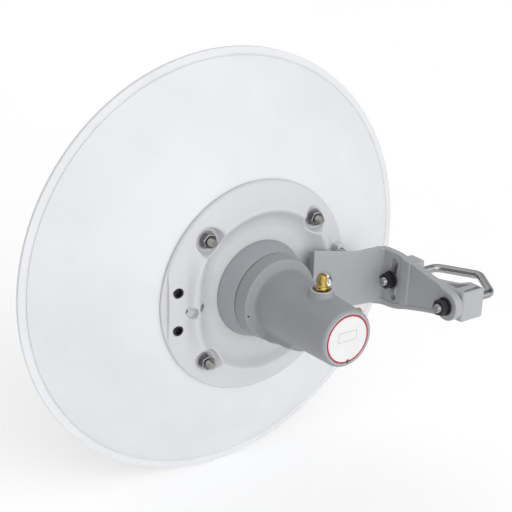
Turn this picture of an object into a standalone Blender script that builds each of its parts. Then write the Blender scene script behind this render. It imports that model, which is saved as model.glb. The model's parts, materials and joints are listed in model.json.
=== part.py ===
"""Microwave dish antenna with a quick-lock adaptor, a cast bracket and a pole clamp.

Built in millimetres from the centre of the dish's rim: u runs to the right seen from
behind, n runs backward out of the dish, z runs up. The world frame has +X along u,
+Y along the boresight (against n) and +Z up, in metres, with its origin on the flat
of the clamp block that faces the pole.
"""
import math

import bmesh
import bpy
from mathutils import Matrix, Quaternion, Vector

MM = 0.001
GAP = 0.3

# Clamp and elevation pivot
SADDLE_U = 130.0
PIVOT_N = 177.0
LEG_SPACING = 70.5
LEG_N = PIVOT_N - LEG_SPACING
CLAMP_N = PIVOT_N - LEG_SPACING / 2
ELEVATION_DEG = 12.0
ROD_R = 4.0
ROD_HOLE_R = 4.6

# Reflector
RIM_R = 205.0
GROOVE_R = 197.0
GROOVE_N = 3.0
BOWL_DEPTH = 67.0
SHELL_T = 2.0
FLAT_R = 93.0
HUB_HOLE_R = 38.0

# Back plate
PLATE_R = 99.0
PLATE_FLOOR_N = 60.0
CREST_R = 74.5
CREST_N = 69.6
SIDE_WALL = ((40.6, 50.0), (99.0, 90.0))
PAD_N = 61.0
PAD_FOOT = 5.0
PAD_LEAN = 0.714
PAD_EDGE = (
    (120.0, -50.0), (68.3, -50.0), (70.8, -36.0), (72.6, -24.0), (73.8, -12.0), (74.2, 0.0),
    (73.8, 12.0), (72.6, 24.0), (70.8, 36.0), (68.3, 50.0), (120.0, 50.0),
)
CHORD_U = 92.8
CHORD_N = 56.2
BOLT_XY = 57.0
PAD_HOLES = ((84.3, 21.7), (84.3, -13.4))
PAD_HOLE_R = 4.5
SCALLOP = (73.6, 5.3)
STUD_END_N = 72.8

# Socket and adaptor
SOCKET_BASE_R = 45.2
SOCKET_TOP_R = 39.3
SOCKET_TOP_N = 78.7
BORE_R = 29.5
TUBE_R = 28.8
TUBE_END_R = 25.3
TUBE_N = 97.0
END_N = 184.2
LABEL_R = 20.8
CONNECTOR_N = 147.5
BOSS_TOP = 29.5

# Latch
LATCH_N = 101.0
LATCH_Z = -33.0
LATCH_HALF_W = 15.5

# Bracket
PLATE_A_BACK_N = 69.9
PLATE_A_FRONT_N = 77.4
ARM_LEFT_U = 115.0
ARM_RIGHT_U = 123.5
ARM_BOSS_R = 13.5
CENTER_BOLT = (59.0, 0.5)
SPARE_HOLE = (-63.6, -2.9)


def world(u, n, z):
    return Vector(((u - SADDLE_U) * MM, (CLAMP_N - n) * MM, z * MM))


def frame(x_axis, y_axis, z_axis, at=(0.0, 0.0, 0.0)):
    """Placement whose local axes point along three (u, n, z) directions."""
    m = Matrix.Identity(4)
    for col, (u, n, z) in enumerate((x_axis, y_axis, z_axis)):
        m[0][col], m[1][col], m[2][col] = u, -n, z
    m.translation = world(*at)
    return m


def dish_frame(at=(0.0, 0.0, 0.0)):
    """Local x along u, y up, z backward along n."""
    return frame((1, 0, 0), (0, 0, 1), (0, 1, 0), at)


def side_frame(at=(0.0, 0.0, 0.0)):
    """Local x backward along n, y up, z to the left."""
    return frame((0, 1, 0), (0, 0, 1), (-1, 0, 0), at)


def plan_frame(at=(0.0, 0.0, 0.0)):
    """Local x along u, y forward, z up."""
    return frame((1, 0, 0), (0, -1, 0), (0, 0, 1), at)


for stale in list(bpy.data.objects):
    bpy.data.objects.remove(stale, do_unlink=True)

parts = bpy.data.collections.new("dish_antenna")
cutters = bpy.data.collections.new("cutters")
for coll in (parts, cutters):
    bpy.context.scene.collection.children.link(coll)


def material(name, color, roughness, metallic):
    mat = bpy.data.materials.new(name)
    mat.use_nodes = True
    shader = mat.node_tree.nodes["Principled BSDF"]
    shader.inputs["Base Color"].default_value = (*color, 1.0)
    shader.inputs["Roughness"].default_value = roughness
    shader.inputs["Metallic"].default_value = metallic
    mat.diffuse_color = (*color, 1.0)
    return mat


LOOKS = {
    "white": ((0.80, 0.81, 0.83), 0.45, 0.0),
    "plate_white": ((0.68, 0.69, 0.71), 0.5, 0.0),
    "adaptor_grey": ((0.09, 0.10, 0.12), 0.5, 0.0),
    "bracket_grey": ((0.22, 0.23, 0.25), 0.5, 0.0),
    "gold": ((0.85, 0.55, 0.15), 0.25, 1.0),
    "black": ((0.01, 0.01, 0.01), 0.4, 0.3),
    "steel": ((0.60, 0.60, 0.62), 0.3, 1.0),
    "chrome": ((0.75, 0.76, 0.78), 0.1, 1.0),
    "red": ((0.60, 0.02, 0.02), 0.4, 0.0),
    "label": ((0.85, 0.85, 0.85), 0.4, 0.0),
    "plastic": ((0.75, 0.76, 0.76), 0.5, 0.0),
}


def add(name, mesh, matrix, look=None):
    """Put a mesh in the scene as a part, or as a cutter when it has no look."""
    obj = bpy.data.objects.new(name, mesh)
    obj.matrix_world = matrix
    if look is None:
        cutters.objects.link(obj)
        obj.hide_render = True
        obj.display_type = "WIRE"
    else:
        parts.objects.link(obj)
        mesh.materials.clear()
        mesh.materials.append(material(name, *LOOKS[look]))
    return obj


def smooth(obj):
    obj.data.shade_smooth()
    obj.data.set_sharp_from_angle(angle=math.radians(32))
    return obj


def bake(obj):
    """Turn an object's curve or modifiers into plain mesh data."""
    bpy.context.view_layer.update()
    graph = bpy.context.evaluated_depsgraph_get()
    mesh = bpy.data.meshes.new_from_object(obj.evaluated_get(graph))
    bm = bmesh.new()
    bm.from_mesh(mesh)
    bmesh.ops.remove_doubles(bm, verts=bm.verts, dist=0.000005)
    bm.to_mesh(mesh)
    bm.free()
    return mesh


def turned(name, profile, segments, matrix, look=None, closed=True):
    """Spin a profile of (radius, height) points about the local z axis."""
    mesh = bpy.data.meshes.new(name)
    bm = bmesh.new()
    verts = [bm.verts.new((r * MM, 0.0, h * MM)) for r, h in profile]
    for a, b in zip(verts, verts[1:]):
        bm.edges.new((a, b))
    if closed:
        bm.edges.new((verts[-1], verts[0]))
    bm.to_mesh(mesh)
    bm.free()
    rough = bpy.data.objects.new(name + "_profile", mesh)
    cutters.objects.link(rough)
    screw = rough.modifiers.new("Spin", "SCREW")
    screw.steps = segments
    screw.render_steps = segments
    screw.use_merge_vertices = True
    screw.merge_threshold = 0.00001
    solid = bake(rough)
    bpy.data.objects.remove(rough, do_unlink=True)
    solid.name = name
    return smooth(add(name, solid, matrix, look))


def prism(name, outline, low, high, matrix, look=None):
    """Extrude a closed outline of local (x, y) points from low to high along z."""
    curve = bpy.data.curves.new(name, "CURVE")
    curve.dimensions = "2D"
    curve.fill_mode = "BOTH"
    curve.extrude = (high - low) / 2 * MM
    spline = curve.splines.new("POLY")
    spline.points.add(len(outline) - 1)
    for point, (x, y) in zip(spline.points, outline):
        point.co = (x * MM, y * MM, 0.0, 1.0)
    spline.use_cyclic_u = True
    rough = bpy.data.objects.new(name + "_outline", curve)
    cutters.objects.link(rough)
    solid = bake(rough)
    bpy.data.objects.remove(rough, do_unlink=True)
    solid.transform(Matrix.Translation((0.0, 0.0, (low + high) / 2 * MM)))
    solid.name = name
    return add(name, solid, matrix, look)


def cylinder(name, radius, low, high, matrix, look=None, segments=32, top_radius=None):
    mesh = bpy.data.meshes.new(name)
    bm = bmesh.new()
    bmesh.ops.create_cone(
        bm,
        cap_ends=True,
        segments=segments,
        radius1=radius * MM,
        radius2=(radius if top_radius is None else top_radius) * MM,
        depth=(high - low) * MM,
        matrix=Matrix.Translation((0.0, 0.0, (low + high) / 2 * MM)),
    )
    bm.to_mesh(mesh)
    bm.free()
    return smooth(add(name, mesh, matrix, look))


def leaning(amount, level):
    """A shear that moves local x by amount for each unit of height above level."""
    shear = Matrix.Identity(4)
    shear[0][2] = amount
    shear[0][3] = -amount * level * MM
    return shear


def lofted(name, outline, stations, look=None):
    """Join copies of a side outline that stand at each u, raised by an amount."""
    mesh = bpy.data.meshes.new(name)
    bm = bmesh.new()
    rings = [[bm.verts.new((n * MM, (z + rise) * MM, -u * MM)) for n, z in outline]
             for u, rise in stations]
    for near, far in zip(rings, rings[1:]):
        for i in range(len(outline)):
            j = (i + 1) % len(outline)
            bm.faces.new((near[i], near[j], far[j], far[i]))
    bm.faces.new(rings[0])
    bm.faces.new(rings[-1])
    bmesh.ops.recalc_face_normals(bm, faces=bm.faces)
    bm.to_mesh(mesh)
    bm.free()
    return add(name, mesh, side_frame(), look)


def box(name, low, high, matrix, look=None):
    mesh = bpy.data.meshes.new(name)
    size = [(b - a) * MM for a, b in zip(low, high)]
    mid = [(a + b) / 2 * MM for a, b in zip(low, high)]
    bm = bmesh.new()
    bmesh.ops.create_cube(bm, size=1.0, matrix=Matrix.LocRotScale(mid, None, size))
    bm.to_mesh(mesh)
    bm.free()
    return add(name, mesh, matrix, look)


def combine(obj, tool, operation="DIFFERENCE"):
    mod = obj.modifiers.new(operation.title(), "BOOLEAN")
    mod.operation = operation
    mod.solver = "EXACT"
    mod.object = tool
    return obj


def rounded(obj, width, segments=2, angle=40.0):
    mod = obj.modifiers.new("Round", "BEVEL")
    mod.width = width * MM
    mod.segments = segments
    mod.limit_method = "ANGLE"
    mod.angle_limit = math.radians(angle)
    return obj


def arc(cx, cy, radius, start, end, steps):
    """Points on a circle from one angle to another, in degrees."""
    points = []
    for i in range(steps + 1):
        a = math.radians(start + (end - start) * i / steps)
        points.append((cx + radius * math.cos(a), cy + radius * math.sin(a)))
    return points


# Reflector: a spun bowl with a flat middle, a groove and a rim lip.

def bowl_n(radius):
    return GROOVE_N + BOWL_DEPTH * (1 - (radius / GROOVE_R) ** 2)


def bowl_inner(radius):
    slope = 2 * BOWL_DEPTH * radius / GROOVE_R ** 2
    length = math.hypot(slope, 1.0)
    return radius - SHELL_T * slope / length, bowl_n(radius) - SHELL_T / length


BOWL_STEPS = 9
radii = [FLAT_R + (GROOVE_R - FLAT_R) * i / BOWL_STEPS for i in range(BOWL_STEPS + 1)]
outer = [(HUB_HOLE_R, bowl_n(FLAT_R))] + [(r, bowl_n(r)) for r in radii]
lip = [
    (197.5, 1.9), (198.2, 1.9), (198.8, 2.7), (204.3, 2.7),
    (RIM_R, 2.0), (RIM_R, -0.5), (204.4, -1.1), (197.8, -1.1),
]
inner = [bowl_inner(r) for r in reversed(radii)]
floor_n = bowl_n(FLAT_R) - SHELL_T
inner = [p for p in inner if p[1] < floor_n] + [(FLAT_R - 0.8, floor_n), (HUB_HOLE_R, floor_n)]
reflector = turned("reflector", outer + lip + inner, 60, dish_frame(), "white")

# Back plate: a cast disc with a recessed well, two side pads and bolt pockets.
plate_profile = [
    (HUB_HOLE_R, CREST_N), (CREST_R, CREST_N), (76.0, 69.1), (85.5, 61.6), (96.8, 58.6),
    (98.5, 57.4), (PLATE_R, 56.0), (PLATE_R, bowl_n(PLATE_R) + GAP),
    (93.2, bowl_n(FLAT_R) + GAP), (HUB_HOLE_R, bowl_n(FLAT_R) + GAP),
]
back_plate = turned("back_plate", plate_profile, 60, dish_frame(), "plate_white")
well = turned(
    "well_cutter",
    [(0.0, CREST_N + 6), (CREST_R + 7, CREST_N + 6), (CREST_R - 0.6, CREST_N),
     (CREST_R - 2.2, CREST_N - 0.8), (61.5, PLATE_FLOOR_N), (0.0, PLATE_FLOOR_N)],
    60, dish_frame(), closed=False,
)
(low_u, low_n), (high_u, high_n) = SIDE_WALL
sides = [(-low_u, -low_n), (low_u, -low_n), (high_u, -high_n), (-high_u, -high_n)]
combine(well, prism("well_limit", sides, -90, 90, plan_frame()), "INTERSECT")
combine(back_plate, well)
for side in (-1, 1):
    tag = "left" if side < 0 else "right"
    edge = [(side * (u + PAD_FOOT), z) for u, z in PAD_EDGE]
    pad = prism("pad_cutter_" + tag, edge, PAD_N, 80, dish_frame())
    pad.data.transform(leaning(-side * PAD_LEAN, PAD_N))
    combine(back_plate, pad)
    lo, hi = sorted((side * CHORD_U, side * 120))
    combine(back_plate, box(
        "chord_cutter_" + tag, (lo, -60, CHORD_N), (hi, 60, 90), dish_frame()))
    combine(back_plate, cylinder(
        "scallop_cutter_" + tag, 5.4, PAD_N, 90,
        dish_frame((side * SCALLOP[0], 0, side * SCALLOP[1])), segments=24))
combine(back_plate, cylinder(
    "relief_cutter", 7.0, PLATE_FLOOR_N - 0.2, 90, dish_frame((CENTER_BOLT[0], 0, CENTER_BOLT[1])),
    segments=28))
for i, (sx, sz) in enumerate(((-1, 1), (1, 1), (-1, -1), (1, -1)), 1):
    spot = dish_frame((sx * BOLT_XY, 0, sz * BOLT_XY))
    combine(back_plate, cylinder(
        f"pocket_cutter_{i}", 10.0, PLATE_FLOOR_N - 0.2, 76, spot, segments=24, top_radius=16.0))
    for target, r in ((back_plate, 4.4), (reflector, 4.4)):
        combine(target, cylinder(f"stud_cutter_{i}_{target.name}", r, 40, 80, spot, segments=16))
    bolt = cylinder(f"plate_bolt_{i}", ROD_R, 52.0, STUD_END_N, spot, "steel", segments=16)
    head = cylinder(f"bolt_head_tool_{i}", 7.0, 47.6, floor_n - GAP, spot, segments=16)
    combine(bolt, head, "UNION")
    turned(
        f"plate_washer_{i}",
        [(4.4, 61.8), (8.4, 61.8), (8.4, PLATE_FLOOR_N + 0.1), (4.4, PLATE_FLOOR_N + 0.1)],
        20, spot, "black")
    nut = cylinder(f"plate_nut_{i}", 7.5, 62.1, 68.4, spot, "black", segments=6)
    combine(nut, cylinder(f"nut_bore_{i}", 4.3, 60, 72, spot, segments=16))
for side in (-1, 1):
    for i, (u, z) in enumerate(PAD_HOLES, 1):
        spot = dish_frame((side * u, 0, side * z))
        for target in (back_plate, reflector):
            combine(target, cylinder(
                f"pad_hole_{side}_{i}_{target.name}", PAD_HOLE_R, 40, 80, spot, segments=18))
for tag, (u, z), r in (("bolt", CENTER_BOLT, 4.0), ("spare", SPARE_HOLE, 3.5)):
    combine(back_plate, cylinder(
        f"{tag}_hole", r, 57.0, 80, dish_frame((u, 0, z)), segments=16))

# Port socket and the feed in front of it.
turned(
    "port_socket",
    [(BORE_R, SOCKET_TOP_N), (38.5, SOCKET_TOP_N), (SOCKET_TOP_R, SOCKET_TOP_N - 0.7),
     (SOCKET_BASE_R - 0.3, 62.0), (SOCKET_BASE_R, PLATE_FLOOR_N + GAP),
     (37.4, PLATE_FLOOR_N + GAP), (37.4, floor_n), (BORE_R, floor_n)],
    40, dish_frame(), "adaptor_grey")
feed_profile = [
    (0.0, floor_n - GAP), (46.0, floor_n - GAP), (46.0, 47.6), (18.0, 46.0), (14.0, 42.0),
    (13.0, -34.0), (11.0, -34.0), (11.0, 44.0), (0.0, 44.0),
]
turned("feed_tube", feed_profile, 28, dish_frame(), "white", closed=False)
turned(
    "feed_cone",
    [(0.0, 30.0), (6.0, 30.0), (10.7, -33.0), (10.7, -34.3), (13.0, -34.3), (27.5, -54.0),
     (27.5, -55.0), (0.0, -55.0)],
    28, dish_frame(), "plastic", closed=False)
turned(
    "sub_reflector",
    [(0.0, -55.3), (28.5, -55.3), (30.0, -56.5), (30.0, -59.0), (28.0, -61.0), (0.0, -61.0)],
    32, dish_frame(), "white", closed=False)

# Quick-lock adaptor: collar, tapered tube, connector bosses and latch ears.
tube_taper = (TUBE_R - TUBE_END_R) / (180.0 - TUBE_N)
adaptor = turned(
    "adaptor_body",
    [(0.0, 183.2), (LABEL_R + GAP, 183.2), (LABEL_R + GAP, END_N), (22.6, END_N),
     (24.4, 183.1), (TUBE_END_R - 0.1, 181.4), (TUBE_END_R, 180.0), (TUBE_R, TUBE_N),
     (29.4, 95.3), (31.2, 93.8), (34.0, 92.6), (36.2, 92.0), (37.0, 91.5), (37.5, 90.4),
     (SOCKET_TOP_R, 80.2), (38.7, 79.3), (29.1, 79.3), (29.1, 64.0), (25.0, 64.0),
     (24.4, 95.0), (22.3, 178.0), (0.0, 178.0)],
    44, dish_frame(), "adaptor_grey", closed=False)
top_frame = frame((1, 0, 0), (0, -1, 0), (0, 0, 1), (0, CONNECTOR_N, 0))
side_boss_frame = frame((0, 0, 1), (0, 1, 0), (1, 0, 0), (0, CONNECTOR_N, 0))
for tag, spot in (("top", top_frame), ("side", side_boss_frame)):
    boss = cylinder(
        f"boss_tool_{tag}", 12.0, 22.0, BOSS_TOP, spot, segments=36, top_radius=9.8)
    combine(adaptor, boss, "UNION")
    turned(
        f"connector_{tag}",
        [(0.0, 43.6), (3.6, 43.6), (4.1, 43.1), (4.1, 35.0), (5.4, 34.4), (6.2, 32.4),
         (8.4, 31.8), (8.8, 31.2), (8.8, BOSS_TOP + GAP), (0.0, BOSS_TOP + GAP)],
        20, spot, "gold", closed=False)
latch_lug = prism(
    "latch_lug_tool",
    [(LATCH_N - 3.4, -25.0), (LATCH_N - 3.0, LATCH_Z)]
    + arc(LATCH_N, LATCH_Z, 2.6, 200, 340, 8)
    + [(LATCH_N + 3.0, LATCH_Z), (LATCH_N + 3.4, -25.0)],
    -4.2, 4.2, side_frame())
combine(adaptor, latch_lug, "UNION")
combine(adaptor, cylinder(
    "lug_hole", 1.8, -20, 20, side_frame((0, LATCH_N, LATCH_Z)), segments=16))

cylinder("end_label", LABEL_R, 183.5, 184.0, dish_frame(), "label", segments=44)

# Latch lever: a sector of ring under the tube, with a button in its underside.
latch_profile = [
    (30.2, 95.0), (37.4, 93.0), (38.2, 93.8), (37.5, 98.0), (37.0, 102.0), (35.8, 106.0),
    (34.7, 110.0), (33.9, 114.0), (33.2, 118.0), (32.7, 122.0), (32.3, 126.0), (31.3, 130.0),
    (30.3, 131.0), (29.9, 130.6),
]
latch = turned("latch_lever", latch_profile, 60, dish_frame(), "adaptor_grey")
combine(latch, box(
    "latch_sector", (-LATCH_HALF_W, -50.0, 80.0), (LATCH_HALF_W, -10.0, 140.0), dish_frame()),
    "INTERSECT")
combine(latch, box(
    "lug_slot", (-4.7, -36.0, LATCH_N - 4.2), (4.7, -20.0, LATCH_N + 4.2), dish_frame()))
combine(latch, cylinder(
    "lever_hole", 1.8, -9.3, 9.3, side_frame((0, LATCH_N, LATCH_Z)), segments=16))
button_pocket = [(106.7, -34.1), (122.0, -31.2), (122.0, -45.0), (106.7, -45.0)]
combine(latch, prism("button_pocket", button_pocket, -5.8, 5.8, side_frame()))
button = [(107.0, -34.4), (121.7, -31.5), (121.7, -34.0), (120.9, -34.8), (108.0, -37.1),
          (107.0, -36.4)]
prism("latch_button", button, -5.5, 5.5, side_frame(), "red")
cylinder("latch_pin", 1.5, -9.0, 9.0, side_frame((0, LATCH_N, LATCH_Z)), "steel", segments=16)

# Bracket: a plate on the back plate's right pad and an arm square to it.
plan = [
    (47.0, -PLATE_A_BACK_N), (112.0, -PLATE_A_BACK_N), (118.5, -72.0), (122.3, -77.0),
    (ARM_RIGHT_U, -84.0), (ARM_RIGHT_U, -200.0), (ARM_LEFT_U, -200.0), (ARM_LEFT_U, -97.0),
    (113.6, -92.5), (109.5, -88.5), (101.0, -84.3), (90.0, -80.4), (79.0, -77.9),
    (74.0, -PLATE_A_FRONT_N), (47.0, -PLATE_A_FRONT_N),
]
bracket = prism("bracket", plan, -45.0, 45.0, plan_frame((0, 0, 0)), "bracket_grey")
face_outline = [
    (40.0, -31.5), (40.0, 31.5), (49.0, 31.5), (60.0, 29.6), (72.0, 27.0), (84.0, 24.4),
    (92.0, 23.6), (98.0, 24.0), (106.0, 24.8), (113.5, 25.2), (113.5, -28.4),
    (108.0, -29.2), (100.0, -30.6), (90.0, -31.4), (80.0, -31.5),
]
arm_outline = (
    [(60.0, 24.6), (99.0, 25.8), (106.0, 26.0), (112.0, 25.7), (118.0, 24.9), (128.0, 23.5),
     (135.0, 21.9), (142.0, 20.5), (149.0, 19.3), (156.0, 17.9), (162.0, 16.9), (168.0, 15.4)]
    + arc(PIVOT_N, 0.0, ARM_BOSS_R, 72, -118, 12)
    + [(160.0, -13.6), (151.0, -15.8), (140.0, -18.7), (127.0, -22.4), (118.0, -25.6),
       (110.0, -27.8), (98.0, -29.0), (60.0, -29.0)]
)
face_tool = prism("bracket_face_tool", face_outline, 50.0, 97.0, dish_frame())
arm_tool = prism("bracket_arm_tool", arm_outline, -130.0, -111.0, side_frame())
combine(face_tool, arm_tool, "UNION")
combine(bracket, face_tool, "INTERSECT")
brow = [(60.0, 11.8), (69.9, 17.0), (78.7, 21.8), (85.5, 24.1), (95.0, 27.3), (95.0, 48.0),
        (60.0, 48.0)]
combine(bracket, lofted("brow_cutter", brow, ((44.0, 12.2), (95.0, 0.8), (131.0, 0.0))))
rib_left = [
    (96.0, 21.6), (104.0, 22.2), (115.6, 21.6), (115.6, -22.6), (109.0, -24.0), (96.0, -24.6),
]
rib_right = [
    (129.0, 20.8), (139.0, 18.4), (156.0, 14.4), (160.5, 13.2), (158.6, 8.0), (157.6, 0.0),
    (158.6, -7.5), (159.5, -9.8), (151.0, -12.0), (140.0, -14.9), (129.0, -18.2),
]
for tag, outline in (("slot", rib_left), ("arm", rib_right)):
    combine(bracket, prism(
        f"recess_{tag}", outline, -ARM_LEFT_U - 2.4, -ARM_LEFT_U + 6.0, side_frame()))
half = math.degrees(1.5 / LEG_SPACING) + ELEVATION_DEG
slot = (
    arc(PIVOT_N, 0.0, LEG_SPACING + ROD_HOLE_R, 180 - half, 180 + half, 6)
    + arc(PIVOT_N + LEG_SPACING * math.cos(math.radians(180 + half)),
          LEG_SPACING * math.sin(math.radians(180 + half)), ROD_HOLE_R,
          180 + half, 360 + half, 8)[1:]
    + arc(PIVOT_N, 0.0, LEG_SPACING - ROD_HOLE_R, 180 + half, 180 - half, 6)[1:]
    + arc(PIVOT_N + LEG_SPACING * math.cos(math.radians(180 - half)),
          LEG_SPACING * math.sin(math.radians(180 - half)), ROD_HOLE_R,
          -half, 180 - half, 8)[1:-1]
)
combine(bracket, prism("slot_cutter", slot, -140.0, -100.0, side_frame()))
combine(bracket, cylinder(
    "pivot_cutter", 4.3, -140, -100, side_frame((0, PIVOT_N, 0)), segments=24))
for i, (u, z) in enumerate(PAD_HOLES, 1):
    lug = box(f"lug_tool_{i}", (u - 4.0, z - 7.0, PAD_N + GAP), (u + 3.7, z + 6.2, 73.0),
              dish_frame())
    combine(bracket, lug, "UNION")
lug = cylinder(
    "center_lug_tool", 6.4, PLATE_FLOOR_N + GAP, 73.0,
    dish_frame((CENTER_BOLT[0], 0, CENTER_BOLT[1])), segments=28)
combine(bracket, lug, "UNION")
for i, (u, z) in enumerate(PAD_HOLES, 1):
    spot = dish_frame((u, 0, z))
    combine(bracket, cylinder(f"screw_hole_{i}", 2.8, 55, 75.2, spot, segments=16))
    screw = cylinder(f"bracket_screw_{i}", 2.5, 50.0, 74.5, spot, "steel", segments=20)
    head = cylinder(f"screw_head_tool_{i}", 5.6, 48.0, floor_n - GAP, spot, segments=16)
    combine(screw, head, "UNION")
spot = dish_frame((CENTER_BOLT[0], 0, CENTER_BOLT[1]))
combine(bracket, cylinder("center_hole", 4.0, 55, 90, spot, segments=16))
turned(
    "bracket_bolt",
    [(0.0, 83.4), (4.8, 83.0), (7.6, 81.4), (8.7, 79.0), (8.7, PLATE_A_FRONT_N + GAP),
     (3.7, PLATE_A_FRONT_N + GAP), (3.7, 57.6), (0.0, 57.6)],
    24, spot, "chrome", closed=False)

# Pole clamp: V-jaw block, U-bolt, washers and nuts.
JAW = ((130.0, 9.0), (140.0, 26.0), (150.0, 29.6), (150.0, 47.0), (123.8, 47.0))
jaw = [(u, -CLAMP_N + y) for u, y in JAW]
jaw += [(u, -CLAMP_N - y) for u, y in reversed(JAW)]
block = prism("clamp_block", jaw, -14.0, 14.0, plan_frame(), "bracket_grey")
rounded(block, 1.2, segments=1)
for tag, n in (("front", LEG_N), ("rear", PIVOT_N)):
    combine(block, cylinder(
        f"leg_hole_{tag}", 4.5, -160, -110, side_frame((0, n, 0)), segments=24))
BLOCK_POCKETS = (
    ((128.4, 20.6), (128.4, 34.4), (144.4, 34.4), (143.0, 32.6)),
    ((128.4, 41.4), (128.4, 44.4), (146.8, 44.4), (146.8, 39.8), (145.4, 39.8)),
)
for half in (-1, 1):
    for face in (-1, 1):
        for i, outline in enumerate(BLOCK_POCKETS):
            hollow = [(u, -CLAMP_N + half * y) for u, y in outline]
            lo, hi = sorted((face * 8.5, face * 20.0))
            combine(block, prism(
                f"block_pocket_{half}_{face}_{i}", hollow, lo, hi, plan_frame()))


def rounded_path(corners, radii_mm, steps=5):
    """Polyline through corners, each turned into an arc of its own radius."""
    points = [Vector(corners[0])]
    for before, corner, after, radius in zip(corners, corners[1:], corners[2:], radii_mm):
        a = (Vector(before) - Vector(corner)).normalized()
        b = (Vector(after) - Vector(corner)).normalized()
        half_angle = a.angle(b) / 2
        centre = Vector(corner) + (a + b).normalized() * radius / math.sin(half_angle)
        start = Vector(corner) + a * radius / math.tan(half_angle) - centre
        end = Vector(corner) + b * radius / math.tan(half_angle) - centre
        turn = start.rotation_difference(end)
        swing = [Quaternion().slerp(turn, i / steps) for i in range(steps + 1)]
        points += [centre + q @ start for q in swing]
    points.append(Vector(corners[-1]))
    return points


reach = LEG_SPACING / 2
path = rounded_path(
    [(101.5, reach, 0), (171.0, reach, 0), (193.0, 0, 0), (171.0, -reach, 0),
     (101.5, -reach, 0)],
    (11.0, 9.0, 11.0))
curve = bpy.data.curves.new("u_bolt", "CURVE")
curve.dimensions = "3D"
curve.bevel_depth = ROD_R * MM
curve.bevel_resolution = 3
curve.use_fill_caps = True
spline = curve.splines.new("POLY")
spline.points.add(len(path) - 1)
for point, p in zip(spline.points, path):
    point.co = (p.x * MM, (p.y - CLAMP_N) * MM, 0.0, 1.0)
rough = bpy.data.objects.new("u_bolt_path", curve)
cutters.objects.link(rough)
rod = bake(rough)
bpy.data.objects.remove(rough, do_unlink=True)
smooth(add("u_bolt", rod, plan_frame(), "chrome"))

for tag, n in (("slot", LEG_N), ("pivot", PIVOT_N)):
    spot = side_frame((0, n, 0))
    base = -ARM_LEFT_U + GAP
    turned(
        f"{tag}_washer",
        [(4.4, base + 1.6), (9.0, base + 1.6), (9.0, base), (4.4, base)],
        20, spot, "black")
    nut = cylinder(
        f"{tag}_nut", 7.6, base + 1.9, base + 8.6, spot, "black", segments=6)
    combine(nut, cylinder(f"{tag}_nut_bore", 4.3, base, base + 12, spot, segments=16))


def parent_to(name, matrix, children):
    """Hang objects on an empty that stands on their joint's axis."""
    empty = bpy.data.objects.new(name, None)
    parts.objects.link(empty)
    empty.matrix_world = matrix
    bpy.context.view_layer.update()
    for child in children:
        obj = bpy.data.objects[child] if isinstance(child, str) else child
        keep = obj.matrix_world.copy()
        obj.parent = empty
        obj.matrix_parent_inverse = empty.matrix_world.inverted()
        obj.matrix_world = keep
    return empty


CLAMP_BODY = ["clamp_block", "u_bolt", "slot_washer", "slot_nut", "pivot_washer", "pivot_nut"]
LATCH_BODY = ["latch_lever", "latch_button"]
ADAPTOR_BODY = ["adaptor_body", "end_label", "connector_top", "connector_side", "latch_pin"]
names = [o.name for o in parts.objects]
DISH_BODY = [n for n in names if n not in CLAMP_BODY + LATCH_BODY + ADAPTOR_BODY]
latch_pivot = parent_to("latch_pivot", plan_frame((0, LATCH_N, LATCH_Z)), LATCH_BODY)
port_axis = parent_to("port_axis", dish_frame((0, SOCKET_TOP_N, 0)), ADAPTOR_BODY + [latch_pivot])
parent_to("elevation_pivot", plan_frame((0, PIVOT_N, 0)), DISH_BODY + [port_axis])
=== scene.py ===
"""Fine shapes, finishes, light and camera for the dish antenna.

Shapes are drawn in millimetres from the centre of the dish's rim: u to the right seen
from behind, n backward out of the dish, z up. Cast pieces are distance fields meshed on
a fine grid, turned pieces are spun profiles, and threads are cut as real helices.
"""
import json
import math

import bpy
import numpy as np
from mathutils import Matrix, Quaternion, Vector


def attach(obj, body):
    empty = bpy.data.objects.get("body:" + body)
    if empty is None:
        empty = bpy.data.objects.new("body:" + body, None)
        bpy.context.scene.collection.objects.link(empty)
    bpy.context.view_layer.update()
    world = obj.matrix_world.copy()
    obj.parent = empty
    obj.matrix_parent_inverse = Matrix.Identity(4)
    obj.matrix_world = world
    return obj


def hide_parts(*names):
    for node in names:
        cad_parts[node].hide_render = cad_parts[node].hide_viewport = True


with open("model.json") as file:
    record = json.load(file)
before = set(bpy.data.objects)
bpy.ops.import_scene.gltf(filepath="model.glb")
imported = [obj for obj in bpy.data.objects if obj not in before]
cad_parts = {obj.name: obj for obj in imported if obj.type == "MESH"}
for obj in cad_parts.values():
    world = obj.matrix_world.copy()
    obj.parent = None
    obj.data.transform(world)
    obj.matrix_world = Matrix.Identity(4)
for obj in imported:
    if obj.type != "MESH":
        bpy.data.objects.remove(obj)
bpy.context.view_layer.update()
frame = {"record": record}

MM = 0.001
SADDLE_U = 130.0
CLAMP_N = 141.75
PIVOT_N = 177.0
LEG_SPACING = 70.5
ELEVATION_DEG = 12.0
BOLT_XY = 57.0
CENTER_BOLT = (59.0, 0.5)
PAD_HOLES = ((84.3, 21.7), (84.3, -13.4))
SPARE_HOLE = (-63.6, -2.9)
SCALLOP = (73.6, 5.3)
CONNECTOR_N = 147.5
FLOOR_N = 60.0
SHELL_FLAT_N = 3.0 + 67.0 * (1 - (93.0 / 197.0) ** 2)
SHELL_FRONT_N = SHELL_FLAT_N - 2.0

body_of = {n: b for b, ns in frame["record"]["behaviour"]["bodies"].items() for n in ns}


# ---------------------------------------------------------------- places

def world_points(points):
    """(u, n, z) rows in millimetres to world rows in metres."""
    p = np.asarray(points, float)
    return np.stack([p[:, 0] - SADDLE_U, CLAMP_N - p[:, 1], p[:, 2]], 1) * MM


def dish_place(u=0.0, z=0.0, n=0.0):
    """Local x along u, y up, z backward out of the dish."""
    return np.array([u, n, z]), np.array([[1, 0, 0], [0, 0, 1], [0, 1, 0]], float)


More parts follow.
